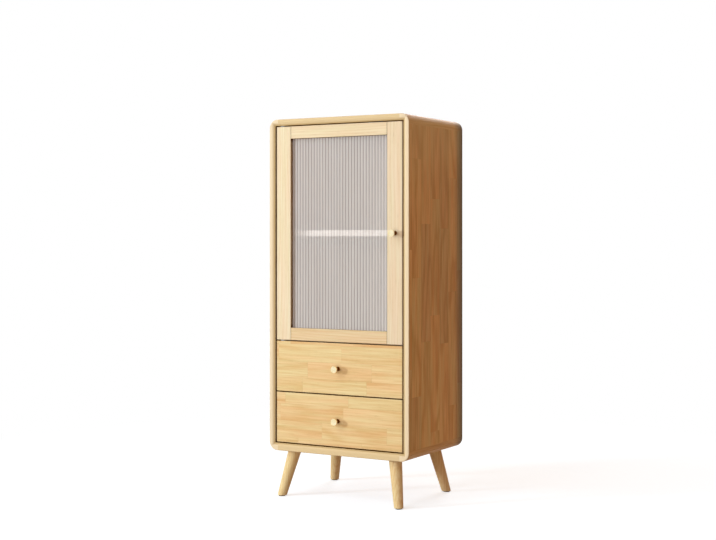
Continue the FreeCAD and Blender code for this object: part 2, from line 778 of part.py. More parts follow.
door_stem = knob("door", "front_w / 2 - stile_w / 2", "door_z + door_h / 2")
stiles = []
for side, out in SIDES.items():
    inner = "front_w / 2 - stile_w"
    profile = [
        ("front_w / 2", "0"), ("front_w / 2", "front_t"), (f"{inner} + rebate_w", "front_t"),
        (f"{inner} + rebate_w", "lip_t"), (inner, "lip_t"), (inner, "0"),
    ]
    points = [(f"{out} * ({across})", deep) for across, deep in profile]
    stile = prism(f"{side}_stile_board", "XY_Plane", points, "door_h", ("0", "face_y", "door_z"))
    stiles.append(round_edges(stile, "front_r", door_rim))
    let_in = bush_holes if out < 0 else [door_stem]
    node(f"door_{side}_stile", cut(f"door_{side}_stile", stile, frame_holes + let_in))
for end, up in ENDS.items():
    edge = "door_h" if up > 0 else "0"
    profile = [
        ("0", "0"), ("front_t", "0"), ("front_t", "rail_h - rebate_w"), ("lip_t", "rail_h - rebate_w"),
        ("lip_t", "rail_h"), ("0", "rail_h"),
    ]
    points = [(deep, f"{edge} - {up} * ({tall})") for deep, tall in profile]
    rail = prism(
        f"{end}_rail_board", "YZ_Plane", points, "front_w - 2 * stile_w + 2 * rebate_w",
        ("stile_w - rebate_w - front_w / 2", "face_y", "door_z"),
    )
    rim_z = num(edge)
    round_edges(rail, "front_r", lambda e, m: abs(m.y) < TOUCH and abs(m.z - rim_z) < TOUCH)
    node(f"door_{end}_rail", cut(f"door_{end}_rail", rail, stiles + frame_holes))

# Reeded glass: a flat pane with a row of rounded ribs on its front, and the beads behind it

glass_low = "rail_h - rebate_w + glass_clear"
glass_h = f"door_h - 2 * ({glass_low})"
pane = prism(
    "glass_pane", "XY_Plane", rectangle("-glass_x", "lip_t", "glass_x", "lip_t + glass_t"), glass_h,
    ("0", "face_y", f"door_z + {glass_low}"),
)
flat_volume = pane.Shape.Volume
first = "-flutes * flute_pitch / 2"
valley = pane.newObject("PartDesign::Pocket", "flute_valley")
valley.Profile = outline(pane, "flute_outline", "XY_Plane", [
    (f"{first} + flute_land / 2", "lip_t"),
    (f"{first} + flute_pitch / 2", "lip_t + flute_deep"),
    (f"{first} + flute_pitch - flute_land / 2", "lip_t"),
], {0: "-flute_r", 1: "-flute_r"})
valley.setExpression("Length", ex(glass_h))
valley.Reversed = True
pane.Tip = valley
doc.recompute()
if pane.Shape.Volume >= flat_volume:
    raise RuntimeError("the flute cuts nothing")
rows = pane.newObject("PartDesign::LinearPattern", "flute_rows")
rows.Originals = [valley]
rows.Direction = (valley.Profile[0], ["H_Axis"])
rows.setExpression("Length", ex("(flutes - 1) * flute_pitch"))
rows.setExpression("Occurrences", ex("flutes"))
pane.Tip = rows
node("glass_pane", pane)

bead_t = "front_t - lip_t - glass_t"
bead_y = f"behind_y - ({bead_t})"
recess_x = "front_w / 2 - stile_w + rebate_w"
recess_low = "door_z + rail_h - rebate_w"
recess_h = "door_h - 2 * rail_h + 2 * rebate_w"
beads = []
for side, out in SIDES.items():
    left = f"{recess_x} - bead_w" if out > 0 else f"-({recess_x})"
    beads.append(box(f"bead_{side}", ("bead_w", bead_t, recess_h), (left, bead_y, recess_low)))
for end, up in ENDS.items():
    low = f"{recess_low} + {recess_h} - bead_w" if up > 0 else recess_low
    beads.append(box(
        f"bead_{end}", (f"2 * ({recess_x} - bead_w)", bead_t, "bead_w"),
        (f"bead_w - ({recess_x})", bead_y, low),
    ))
node("glazing_beads", group("glazing_beads", beads))

doc.recompute()
for thing in doc.Objects:
    if {"Invalid", "Error"} & set(thing.State):
        raise RuntimeError(f"{thing.Label} failed: {thing.State}")
for label, thing in nodes.items():
    if thing.Shape.isNull() or not thing.Shape.isValid() or not thing.Shape.Solids:
        raise RuntimeError(f"{label} has no valid shape")
os.makedirs("parts", exist_ok=True)
for label, thing in nodes.items():
    thing.Shape.exportStep(f"parts/{label}.step")
print(len(nodes), "pieces written")
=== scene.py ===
"""Looks of a wooden display cabinet: glazed door above two drawers, on splayed legs."""
import math
from collections import namedtuple
from fnmatch import fnmatchcase

import bpy
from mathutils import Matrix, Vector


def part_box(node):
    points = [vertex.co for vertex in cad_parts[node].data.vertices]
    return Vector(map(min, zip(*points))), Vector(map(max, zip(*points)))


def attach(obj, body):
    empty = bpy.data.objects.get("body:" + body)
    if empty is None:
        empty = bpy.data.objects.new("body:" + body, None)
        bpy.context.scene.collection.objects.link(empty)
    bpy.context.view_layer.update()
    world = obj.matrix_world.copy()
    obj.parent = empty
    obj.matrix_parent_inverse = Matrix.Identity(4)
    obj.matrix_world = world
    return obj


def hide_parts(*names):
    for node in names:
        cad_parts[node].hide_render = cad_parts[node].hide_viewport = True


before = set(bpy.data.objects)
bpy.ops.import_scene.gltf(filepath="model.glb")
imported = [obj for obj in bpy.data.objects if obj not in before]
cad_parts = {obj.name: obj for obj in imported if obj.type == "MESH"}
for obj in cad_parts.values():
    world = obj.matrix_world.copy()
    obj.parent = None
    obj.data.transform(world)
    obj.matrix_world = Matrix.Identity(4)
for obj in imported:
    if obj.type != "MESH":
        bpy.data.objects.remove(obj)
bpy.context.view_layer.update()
scene = bpy.context.scene
scene.view_settings.view_transform = "Standard"

# Places read from the frame, in metres

SIDE_LOW, SIDE_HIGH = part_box("right_side")
CASE_FRONT = SIDE_LOW.y
CASE_BACK = SIDE_HIGH.y
CASE_INSIDE = SIDE_LOW.x
CASE_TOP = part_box("top_panel")[1].z
BACK_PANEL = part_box("back_panel")[0].y
SHELF_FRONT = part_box("shelf")[0].y
STILE_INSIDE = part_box("door_right_stile")[0].x
FRONT_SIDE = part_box("upper_drawer_front")[1].x
BEHIND_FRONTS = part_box("upper_drawer_front")[1].y
KNOB_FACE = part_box("door_knob")[0].y
PANE_LOW, PANE_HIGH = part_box("glass_pane")

# Sizes of the modelled pieces, in metres

FLUTE_PITCH = 0.0104
FLUTE_LAND = 0.0006
FLUTE_DEEP = 0.0012
FLUTE_STEPS = 10
FLUTE_COUNT = int((PANE_HIGH.x - PANE_LOW.x) / FLUTE_PITCH)
FLUTE_START = -FLUTE_COUNT * FLUTE_PITCH / 2
ROUND_STEPS = 64
SMOOTH_ANGLE = 40

# Camera, floor and light

CAMERA_PLACE = (2.1394, -3.7376, 0.8182)
CAMERA_TURN = 30.09
CAMERA_LENS = 67.83
CAMERA_SENSOR = 36
CAMERA_SHIFT = -0.0459
MIDDLE = (0, 0, 0.6)
SOFT_BLUE = (0.755, 0.90, 1.0)
COOL_WHITE = (0.95, 0.97, 1.0)
SOFT_BOXES = (
    ("low", (-4.6, -5.0, 1.6), (0.8, 0.7), 235),
    ("front", (0.3, -6.0, 1.3), (1.2, 1.2), 75),
    ("high", (-2.2, -4.5, 4.6), (3.9, 3.9), 157),
)
WHITE = (1, 1, 1, 1)
WARM_SHADE = (1.0, 0.62, 0.385, 1)
SHADE_LEVEL = 0.34
FLOOR_REACH = 12.0
FLOOR_WARM = (0.52, 0.44, 0.36, 1)
FLOOR_WARM_DARK = (0.48, 0.40, 0.33, 1)
FLOOR_PALE = (0.68, 0.75, 0.82, 1)
FLOOR_PALE_DARK = (0.65, 0.72, 0.79, 1)
FLOOR_LIFT = 0.62
FADE_START = 0.6
FADE_END = 1.9
# Most values of a noise lie between these two
NOISE_RANGE = (0.3, 0.7)


def add_camera():
    """Level camera to the right of the front, shifted down to frame the legs."""
    data = bpy.data.cameras.new("camera")
    data.sensor_width = CAMERA_SENSOR
    data.lens = CAMERA_LENS
    data.shift_y = CAMERA_SHIFT
    camera = bpy.data.objects.new("camera", data)
    camera.location = CAMERA_PLACE
    camera.rotation_euler = (math.radians(90), 0, math.radians(CAMERA_TURN))
    scene.collection.objects.link(camera)
    scene.camera = camera


def add_light(name, place, size, power, colour):
    """Soft box of a width and a height at a place, facing the middle of the object."""
    data = bpy.data.lights.new(name, "AREA")
    data.shape = "RECTANGLE"
    data.size, data.size_y = size
    data.energy = power
    data.color = colour
    light = bpy.data.objects.new(name, data)
    light.location = place
    toward = [m - p for m, p in zip(MIDDLE, place)]
    tilt = math.atan2(math.hypot(toward[0], toward[1]), -toward[2])
    light.rotation_euler = (tilt, 0, math.atan2(toward[1], toward[0]) - math.pi / 2)
    scene.collection.objects.link(light)
    return light


class Graph:
    """Small helper that adds nodes to a material or world and wires them as they are made."""

    def __init__(self, tree):
        self.tree = tree
        tree.nodes.clear()

    def node(self, kind, inputs=None, **settings):
        made = self.tree.nodes.new(kind)
        for key, value in settings.items():
            setattr(made, key, value)
        for key, value in (inputs or {}).items():
            self.feed(made.inputs[key], value)
        return made

    def feed(self, socket, value):
        if isinstance(value, bpy.types.NodeSocket):
            self.tree.links.new(value, socket)
        elif isinstance(value, bpy.types.Node):
            self.tree.links.new(value.outputs[0], socket)
        else:
            socket.default_value = value

    def math(self, operation, *values):
        made = self.node("ShaderNodeMath", operation=operation)
        for socket, value in zip(made.inputs, values):
            self.feed(socket, value)
        return made.outputs[0]

    def plus(self, first, second):
        return self.math("ADD", first, second)

    def minus(self, first, second):
        return self.math("SUBTRACT", first, second)

    def times(self, first, second):
        return self.math("MULTIPLY", first, second)

    def dot(self, first, second):
        made = self.node("ShaderNodeVectorMath", {0: first, 1: second}, operation="DOT_PRODUCT")
        return made.outputs["Value"]

    def stretch(self, place, factors):
        return self.node("ShaderNodeVectorMath", {0: place, 1: factors}, operation="MULTIPLY")

    def noise(self, place, scale=1.0, detail=3.0, rough=0.5):
        settings = {"Vector": place, "Scale": scale, "Detail": detail, "Roughness": rough}
        return self.node("ShaderNodeTexNoise", settings).outputs[0]

    def mix(self, factor, first, second, blend="MIX"):
        made = self.node("ShaderNodeMix", data_type="RGBA", blend_type=blend)
        self.feed(made.inputs["Factor"], factor)
        self.feed(made.inputs[6], first)
        self.feed(made.inputs[7], second)
        return made.outputs[2]

    def ramp(self, factor, low, high, at_low=0.0, at_high=1.0):
        made = self.node("ShaderNodeMapRange", {0: factor, 1: low, 2: high, 3: at_low, 4: at_high})
        return made.outputs[0]

    def bump(self, height, strength, distance):
        return self.node("ShaderNodeBump", {"Strength": strength, "Distance": distance, "Height": height})

    def blend_shaders(self, factor, first, second):
        return self.node("ShaderNodeMixShader", {0: factor, 1: first, 2: second})


def new_material(name):
    material = bpy.data.materials.new(name)
    material.use_nodes = True
    return material, Graph(material.node_tree)


def srgb(code):
    """Linear colour from a hex code."""
    parts = [int(code[i:i + 2], 16) / 255 for i in (0, 2, 4)]
    return tuple(p / 12.92 if p <= 0.04045 else ((p + 0.055) / 1.055) ** 2.4 for p in parts) + (1.0,)


def seen_directly(graph):
    """1 for what the camera sees, straight or by reflection or through glass."""
    path = graph.node("ShaderNodeLightPath")
    seen = graph.math("MAXIMUM", path.outputs["Is Camera Ray"], path.outputs["Is Glossy Ray"])
    return graph.math("MAXIMUM", seen, path.outputs["Is Transmission Ray"])


def add_world():
    """Dim warm light from all round, with a plain white background."""
    world = bpy.data.worlds.new("studio")
    world.use_nodes = True
    graph = Graph(world.node_tree)
    soft = graph.node("ShaderNodeBackground", {"Color": WARM_SHADE, "Strength": SHADE_LEVEL})
    white = graph.node("ShaderNodeBackground", {"Color": WHITE, "Strength": 1.0})
    graph.node("ShaderNodeOutputWorld", {0: graph.blend_shaders(seen_directly(graph), soft, white)})
    scene.world = world


def add_floor():
    """Pale floor that fades into the white background and keeps the shadow near the object."""
    mesh = bpy.data.meshes.new("floor")
    corners = [(x * FLOOR_REACH, y * FLOOR_REACH, 0) for x, y in ((-1, -1), (1, -1), (1, 1), (-1, 1))]
    mesh.from_pydata(corners, [], [(0, 1, 2, 3)])
    floor = bpy.data.objects.new("floor", mesh)
    scene.collection.objects.link(floor)
    material, graph = new_material("floor")
    place = graph.node("ShaderNodeTexCoord").outputs["Object"]
    mottle = graph.ramp(graph.noise(place, 3.0, 4.0), *NOISE_RANGE)
    matte = graph.node("ShaderNodeBsdfDiffuse", {"Color": graph.mix(mottle, FLOOR_WARM, FLOOR_WARM_DARK)})
    plain = graph.node("ShaderNodeBsdfDiffuse", {"Color": graph.mix(mottle, FLOOR_PALE, FLOOR_PALE_DARK)})
    lift = graph.node("ShaderNodeEmission", {"Color": WHITE, "Strength": FLOOR_LIFT})
    near = graph.node("ShaderNodeAddShader", {0: plain, 1: lift})
    white = graph.node("ShaderNodeEmission", {"Color": WHITE, "Strength": 1.0})
    away = graph.node("ShaderNodeVectorMath", {0: place}, operation="LENGTH").outputs["Value"]
    shown = graph.blend_shaders(graph.ramp(away, FADE_START, FADE_END), near, white)
    graph.node("ShaderNodeOutputMaterial", {0: graph.blend_shaders(seen_directly(graph), matte, shown)})
    mesh.materials.append(material)


add_camera()
add_world()
add_floor()
for label, spot, extent, watts in SOFT_BOXES:
    soft_box = add_light(label, spot, extent, watts, SOFT_BLUE)
    soft_box.visible_glossy = False
    soft_box.visible_transmission = False
add_light("back", (-0.8, 4.0, 2.4), (2.0, 2.0), 70, COOL_WHITE)


# Wood: colours that all kinds share, and the scales of their figure

AXES = {"x": 0, "y": 1, "z": 2}
FRONT = (0, -1, 0)
RIGHT = (1, 0, 0)
BACK = (0, 1, 0)
SOFT_TINTS = ("fff8f6", "fdfffb")
PORE_TONE = "9a6f3e"
SEAM_TONE = "8a6234"
# Painted shade for the narrow gaps round the fronts
PAINTED_GAP_SHADE = "6a3a06"
# Painted highlight on rounded edges, patchy like wear
WEAR_AND_HIGHLIGHT_TONE = "f7e6c6"
# Each noise of the figure: counts per metre along and across the grain, detail and roughness
FIGURE_NOISES = {
    "cloud": (2.5, 16.0, 3.0, 0.55),
    "hue": (4.0, 42.0, 2.0, 0.5),
    "fibre": (7.0, 240.0, 5.0, 0.62),
    "pore": (45.0, 1100.0, 2.0, 0.5),
    "wobble": (1.6, 7.0, 2.0, 0.5),
}
# Shares of the tones in the figure and over it
RING_SHARE = 0.14
FIBRE_SHARE = 0.74
CLOUD_SHARE = 0.24
PORE_SHARE = 0.30
SEAM_SHARE = 0.25
BLOCK_HUE = 0.25
WEAR_AND_HIGHLIGHT_SHARES = (0.15, 0.5)
FIBRE_RELIEF = 0.3
# Ranges over which a noise, the way that a face looks or the room round it takes effect
FIGURE_MIDDLE = 0.53
FIGURE_REACH = 0.17
PORE_RANGE = (0.58, 0.70)
PORED_FIBRES = (0.40, 0.62)
HUE_RANGE = (0.32, 0.68)
WEAR_AND_HIGHLIGHT_CLOUDS = (0.35, 0.6)
FACING_RANGE = (0.3, 0.9)
ROUND_RANGE = (0.98, 0.75)
GAP_SHADE_RANGE = (0.45, 0.95)
WOOD_ROUGH = (0.40, 0.52)
# Growth rings, and how far random numbers move the figure
RING_SPACING = 0.009
RING_CONTRAST = 2.5
RING_WOBBLE = 0.05
PITH_SWAY = 0.06
PITH_DEEP = 0.05
PITH_LEAST = 0.03
PIECE_JUMP = 3.7
BLOCK_JUMP = 7.0
ROW_JUMP = 9.0
# Seams, edges and gaps, in metres
SEAM_WIDTH = 0.0005
EDGE_ROUND = 0.0025
CREVICE = 0.015
GAP_END = BEHIND_FRONTS - 0.001

Figure = namedtuple("Figure", "tone cloud hue fibre pores")
Mark = namedtuple("Mark", "axis full none colour share way", defaults=[None])


def lamellas(graph, along, wide, strip, block, shift):
    """Two random numbers of the glued lamella that a point lies in, its place across it, and the seams."""
    count = graph.math("DIVIDE", graph.plus(wide, shift), strip)
    row = graph.math("FLOOR", count)
    row_luck = graph.node("ShaderNodeTexWhiteNoise", {"W": row}, noise_dimensions="1D").outputs["Value"]
    length = graph.plus(graph.math("DIVIDE", along, block), graph.times(row_luck, ROW_JUMP))
    run = graph.math("FLOOR", length)
    cell = graph.node("ShaderNodeCombineXYZ", {0: row, 1: run, 2: shift})
    toss = graph.node("ShaderNodeTexWhiteNoise", {"Vector": cell}, noise_dimensions="3D")
    second = graph.node("ShaderNodeSeparateColor", {0: toss.outputs["Color"]}).outputs[1]
    place = graph.minus(graph.minus(count, row), 0.5)
    end = graph.minus(graph.minus(length, run), 0.5)
    side_gap = graph.times(graph.minus(0.5, graph.math("ABSOLUTE", place)), strip)
    end_gap = graph.times(graph.minus(0.5, graph.math("ABSOLUTE", end)), block)
    seam = graph.ramp(graph.math("MINIMUM", side_gap, end_gap), 0.0, SEAM_WIDTH, 1.0, 0.0)
    return toss.outputs["Value"], second, graph.times(place, strip), seam


def wood_figure(graph, along, wide, deep, inset, first, second):
    """Growth rings, clouds, fibres and pores of a board, other ones for each pair of random numbers."""
    apart = graph.times(first, BLOCK_JUMP)
    moved = {0: graph.plus(along, apart), 1: graph.plus(wide, apart), 2: deep}
    here = graph.node("ShaderNodeCombineXYZ", moved)

    def layer(kind):
        long, cross, detail, rough = FIGURE_NOISES[kind]
        return graph.noise(graph.stretch(here, (long, cross, cross)), 1.0, detail, rough)

    cloud = layer("cloud")
    fibre = layer("fibre")
    wobble = graph.times(graph.minus(layer("wobble"), 0.5), RING_WOBBLE)
    from_pith = graph.plus(inset, graph.times(graph.minus(first, 0.5), PITH_SWAY))
    above_pith = graph.plus(deep, graph.plus(graph.times(second, PITH_DEEP), PITH_LEAST))
    squares = graph.plus(graph.math("POWER", from_pith, 2.0), graph.math("POWER", above_pith, 2.0))
    turns = graph.times(graph.plus(graph.math("SQRT", squares), wobble), 2 * math.pi / RING_SPACING)
    ring = graph.math("POWER", graph.ramp(graph.math("SINE", turns), -1.0, 1.0), RING_CONTRAST)
    pores = graph.times(graph.ramp(layer("pore"), *PORE_RANGE), graph.ramp(fibre, *PORED_FIBRES))
    tone = graph.plus(graph.times(ring, RING_SHARE), graph.times(fibre, FIBRE_SHARE))
    tone = graph.plus(tone, graph.times(cloud, CLOUD_SHARE))
    return Figure(tone, cloud, layer("hue"), fibre, pores)


def add_mark(graph, tone, parts, normal, mark):
    """Tone with a tint on the part of the surface that a mark gives."""
    where = parts[AXES[mark.axis]]
    if mark.axis == "x":
        where = graph.math("ABSOLUTE", where)
    amount = graph.ramp(where, mark.full, mark.none, mark.share, 0.0)
    if mark.way:
        amount = graph.times(amount, graph.ramp(graph.dot(normal, mark.way), *FACING_RANGE))
    return graph.mix(amount, tone, srgb(mark.colour))


def painted_gap_shade(graph, parts):
    """Share of painted shade: 1 deep in the narrow gaps round the door and drawer fronts, 0 outside them."""
    open_air = graph.node("ShaderNodeAmbientOcclusion", {"Distance": CREVICE}, samples=6).outputs["AO"]
    near_front = graph.ramp(parts[AXES["y"]], GAP_END, GAP_END + CREVICE / 3, 1.0, 0.0)
    return graph.times(graph.ramp(open_air, *GAP_SHADE_RANGE, 1.0, 0.0), near_front)


def wood(name, light, dark, grain, depth="y", strip=None, block=0.3, spread=0.04, tints=SOFT_TINTS,
         gloss=0.25, contrast=1.0, luck=None, worn=True, gaps=False, marks=()):
    """Lacquered wood with its grain along an axis.

    strip is the width of the lamellas it is glued from. luck is one number for all pieces whose figure
    runs on from one to the next, and without it each piece has its own. worn pieces have pale soft
    edges, a painted highlight that is patchy like wear, and those with gaps get painted shade, dark in
    the narrow gaps round the fronts. Each mark gives an axis, where on it a tint is full and where it
    ends, its colour, its share and the way that its faces look, or None for all; along x the distance
    from the middle counts.
    """
    material, graph = new_material(name)
    across = [axis for axis in "xyz" if axis not in (grain, depth)][0]
    coordinates = graph.node("ShaderNodeTexCoord").outputs
    parts = graph.node("ShaderNodeSeparateXYZ", {0: coordinates["Object"]}).outputs
    along, wide, deep = (parts[AXES[axis]] for axis in (grain, across, depth))
    if luck is None:
        luck = graph.node("ShaderNodeObjectInfo").outputs["Random"]
    shift = graph.times(luck, PIECE_JUMP)
    along = graph.plus(along, shift)
    first, second, inset, seam = luck, luck, wide, None
    if strip:
        first, second, inset, seam = lamellas(graph, along, wide, strip, block, shift)
    figure = wood_figure(graph, along, wide, deep, inset, first, second)

    reach = FIGURE_REACH / contrast
    darkness = graph.ramp(figure.tone, FIGURE_MIDDLE - reach, FIGURE_MIDDLE + reach)
    tone = graph.mix(darkness, srgb(light), srgb(dark))
    pick = graph.plus(figure.hue, graph.times(graph.minus(second, 0.5), BLOCK_HUE))
    tint = graph.mix(graph.ramp(pick, *HUE_RANGE), srgb(tints[0]), srgb(tints[1]))
    tone = graph.mix(1.0, tone, tint, "MULTIPLY")
    level = graph.ramp(first, 0.0, 1.0, 1.0 - spread, 1.0 + spread)
    grey = graph.node("ShaderNodeCombineColor", {0: level, 1: level, 2: level})
    tone = graph.mix(1.0, tone, grey, "MULTIPLY")
    tone = graph.mix(graph.times(figure.pores, PORE_SHARE), tone, srgb(PORE_TONE))
    if seam:
        tone = graph.mix(graph.times(seam, SEAM_SHARE), tone, srgb(SEAM_TONE))
    for mark in marks:
        tone = add_mark(graph, tone, parts, coordinates["Normal"], mark)

    rough = graph.ramp(figure.fibre, *NOISE_RANGE, *WOOD_ROUGH)
    # Painted shade: dark brown deep in the narrow gaps round the fronts, which also turn rough and lose
    # their gloss there
    if gaps:
        gap_shade = painted_gap_shade(graph, parts)
        tone = graph.mix(gap_shade, tone, srgb(PAINTED_GAP_SHADE))
        rough = graph.math("MAXIMUM", rough, gap_shade)
        gloss = graph.ramp(gap_shade, 0.0, 1.0, gloss, 0.0)
    relief = graph.minus(graph.times(figure.fibre, FIBRE_RELIEF), figure.pores)
    bump = graph.bump(relief, 0.12, 0.0002)
    # Pale soft edges: a painted highlight on rounded edges, patchy like wear
    if worn:
        soft_edge = graph.node("ShaderNodeBevel", {"Radius": EDGE_ROUND}, samples=4)
        agree = graph.dot(soft_edge, graph.node("ShaderNodeNewGeometry").outputs["Normal"])
        patchy = graph.ramp(figure.cloud, *WEAR_AND_HIGHLIGHT_CLOUDS, *WEAR_AND_HIGHLIGHT_SHARES)
        wear_and_highlight = graph.times(graph.ramp(agree, *ROUND_RANGE), patchy)
        tone = graph.mix(wear_and_highlight, tone, srgb(WEAR_AND_HIGHLIGHT_TONE))
        graph.feed(bump.inputs["Normal"], soft_edge)
    shader = graph.node("ShaderNodeBsdfPrincipled", {"Base Color": tone, "Roughness": rough, "Normal": bump})
    graph.feed(shader.inputs["Specular IOR Level"], gloss)
    graph.node("ShaderNodeOutputMaterial", {0: shader})
    return material


# Other materials: scales in counts per metre, ranges of a noise, and roughness

TARNISH_SCALE = 90.0
TARNISH_RANGE = (0.35, 0.7)
PAINTED_SHADE_SWAY = 0.002
METAL_SMOOTHER = 0.05
METAL_ROUGHER = 0.07
PLASTIC_SCALE = 900.0
STREAK_SCALES = (60.0, 60.0, 4.0)
GLASS_TINTS = ("faf3ee", "f3ebe6")
GLASS_CLEAR = "f2f1f4"
GLASS_IOR = 1.5
GLASS_ROUGH = (0.02, 0.05)
VALLEY_START = 0.26 * FLUTE_PITCH
VALLEY_FULL = 0.42 * FLUTE_PITCH
RIB_CLARITY = 0.44
VALLEY_GAIN = 0.25


def metal(name, colour, shade, rough, grain, painted_shade=None):
    """Metal with brush marks, as dense along each axis as grain says, and a cloudy tarnish.

    The last argument gives the places from front to back where a painted shade begins and is full, and its
    tone.
    """
    material, graph = new_material(name)
    place = graph.node("ShaderNodeTexCoord").outputs["Object"]
    brushed = graph.noise(graph.stretch(place, grain))
    cloud = graph.noise(place, TARNISH_SCALE)
    tone = graph.mix(graph.ramp(cloud, *TARNISH_RANGE), srgb(colour), srgb(shade))
    # Painted shade: dark brown on the knob behind its head
    if painted_shade:
        start, full, dark = painted_shade
        back = graph.node("ShaderNodeSeparateXYZ", {0: place}).outputs[1]
        uneven = graph.times(graph.minus(cloud, 0.5), PAINTED_SHADE_SWAY)
        tone = graph.mix(graph.ramp(graph.plus(back, uneven), start, full), tone, srgb(dark))
    bump = graph.bump(brushed, 0.03, 0.00005)
    worn = graph.ramp(brushed, *NOISE_RANGE, rough - METAL_SMOOTHER, rough + METAL_ROUGHER)
    shader = graph.node("ShaderNodeBsdfPrincipled", {"Base Color": tone, "Normal": bump, "Roughness": worn})
    graph.feed(shader.inputs["Metallic"], 1.0)
    graph.node("ShaderNodeOutputMaterial", {0: shader})
    return material


def plastic(name, colour, shade, rough):
    """Moulded plastic or felt with a fine grain."""
    material, graph = new_material(name)
    grain = graph.noise(graph.node("ShaderNodeTexCoord").outputs["Object"], PLASTIC_SCALE)
    tone = graph.mix(graph.ramp(grain, *NOISE_RANGE), srgb(colour), srgb(shade))
    bump = graph.bump(grain, 0.15, 0.0002)
    shader = graph.node("ShaderNodeBsdfPrincipled", {"Base Color": tone, "Normal": bump, "Roughness": rough})
    graph.node("ShaderNodeOutputMaterial", {0: shader})
    return material


def reeded_glass():
    """Reeded glass, milky on the ribs and clearer in the valleys, that lets light into the case."""
    material, graph = new_material("reeded_glass")
    place = graph.node("ShaderNodeTexCoord").outputs["Object"]
    streak = graph.noise(graph.stretch(place, STREAK_SCALES))
    tone = graph.mix(graph.ramp(streak, *NOISE_RANGE), srgb(GLASS_TINTS[0]), srgb(GLASS_TINTS[1]))
    rough = graph.ramp(streak, *NOISE_RANGE, *GLASS_ROUGH)
    across = graph.node("ShaderNodeSeparateXYZ", {0: place}).outputs[0]
    from_rib = graph.math("PINGPONG", graph.minus(across, FLUTE_START), FLUTE_PITCH / 2)
    valley = graph.ramp(from_rib, VALLEY_START, VALLEY_FULL)
    leaving = graph.node("ShaderNodeNewGeometry").outputs["Backfacing"]
    clarity = graph.math("MAXIMUM", leaving, graph.math("MULTIPLY_ADD", valley, VALLEY_GAIN, RIB_CLARITY))
    shader = graph.node("ShaderNodeBsdfPrincipled", {"Base Color": tone, "Roughness": rough})
    graph.feed(shader.inputs["IOR"], GLASS_IOR)
    graph.feed(shader.inputs["Transmission Weight"], clarity)
    clear = graph.node("ShaderNodeBsdfTransparent", {"Color": srgb(GLASS_CLEAR)})
    path = graph.node("ShaderNodeLightPath").outputs
    through = graph.math("MAXIMUM", path["Is Shadow Ray"], path["Is Diffuse Ray"])
    graph.node("ShaderNodeOutputMaterial", {0: graph.blend_shaders(through, shader, clear)})
    return material


# Finishes of the pieces, with the tints that some faces have near an edge, among them painted light and
# painted shade

CASE_STYLE = dict(
    light="f3d398", dark="d6aa64", strip=0.062, block=0.36, spread=0.09, tints=("ffe4c6", "f8f1dc"),
    contrast=1.3, luck=0.31, worn=False, gaps=True)
CORNER_STYLE = dict(CASE_STYLE, strip=None, luck=None, tints=("ffebd6", "faf0dc"), contrast=0.9)
DRAWER_STYLE = dict(
    light="f6dbab", dark="e5bd85", strip=0.053, block=0.23, spread=0.010, tints=("fff2e6", "fcfef3"),
    gaps=True)
FRAME_STYLE = dict(contrast=0.8, gaps=True)
DULL_BEVEL = Mark("y", CASE_FRONT + 0.0037, CASE_FRONT + 0.0050, "ccae7c", 0.9)
PALE_SIDE = Mark("y", CASE_FRONT + 0.0005, CASE_FRONT + 0.0028, "f8e0bb", 0.9)
PALE_BOARD = Mark("y", CASE_FRONT + 0.0020, CASE_FRONT + 0.0028, "eccf9f", 0.85)
# Painted shade: right-facing faces darken towards the back edge
PAINTED_BACK_SHADE = Mark("y", CASE_BACK, CASE_BACK - 0.061, "363012", 0.88, RIGHT)
# Painted light: right-facing faces grow paler towards the top
PAINTED_TOP_LIGHT = Mark("z", CASE_TOP - 0.010, CASE_TOP - 0.210, "ffe2a2", 0.35, RIGHT)
WARM_BACK = Mark("y", BACK_PANEL, BACK_PANEL - 0.010, "e6cb9c", 0.5, BACK)
PALE_LINING = Mark("x", CASE_INSIDE + 0.0002, CASE_INSIDE + 0.0020, "e2d6c2", 0.8)
RAIL_JOINT = Mark("x", STILE_INSIDE + 0.0002, STILE_INSIDE - 0.0029, "704a1e", 0.9, FRONT)
WHITE_EDGE = Mark("y", SHELF_FRONT, SHELF_FRONT + 0.0010, "fff7e8", 0.95, FRONT)
# Painted shade: a dark brown strip on the front faces along the side edges of the door and drawer fronts,
# beside the gaps
PAINTED_EDGE_SHADE = Mark("x", FRONT_SIDE - 0.0010, FRONT_SIDE - 0.0034, "4a2600", 0.97, FRONT)
OUTSIDE_MARKS = (PAINTED_TOP_LIGHT, DULL_BEVEL, PALE_SIDE, PAINTED_BACK_SHADE)
SIDE_MARKS = (PALE_LINING,) + OUTSIDE_MARKS
BOARD_MARKS = (DULL_BEVEL, PALE_BOARD)
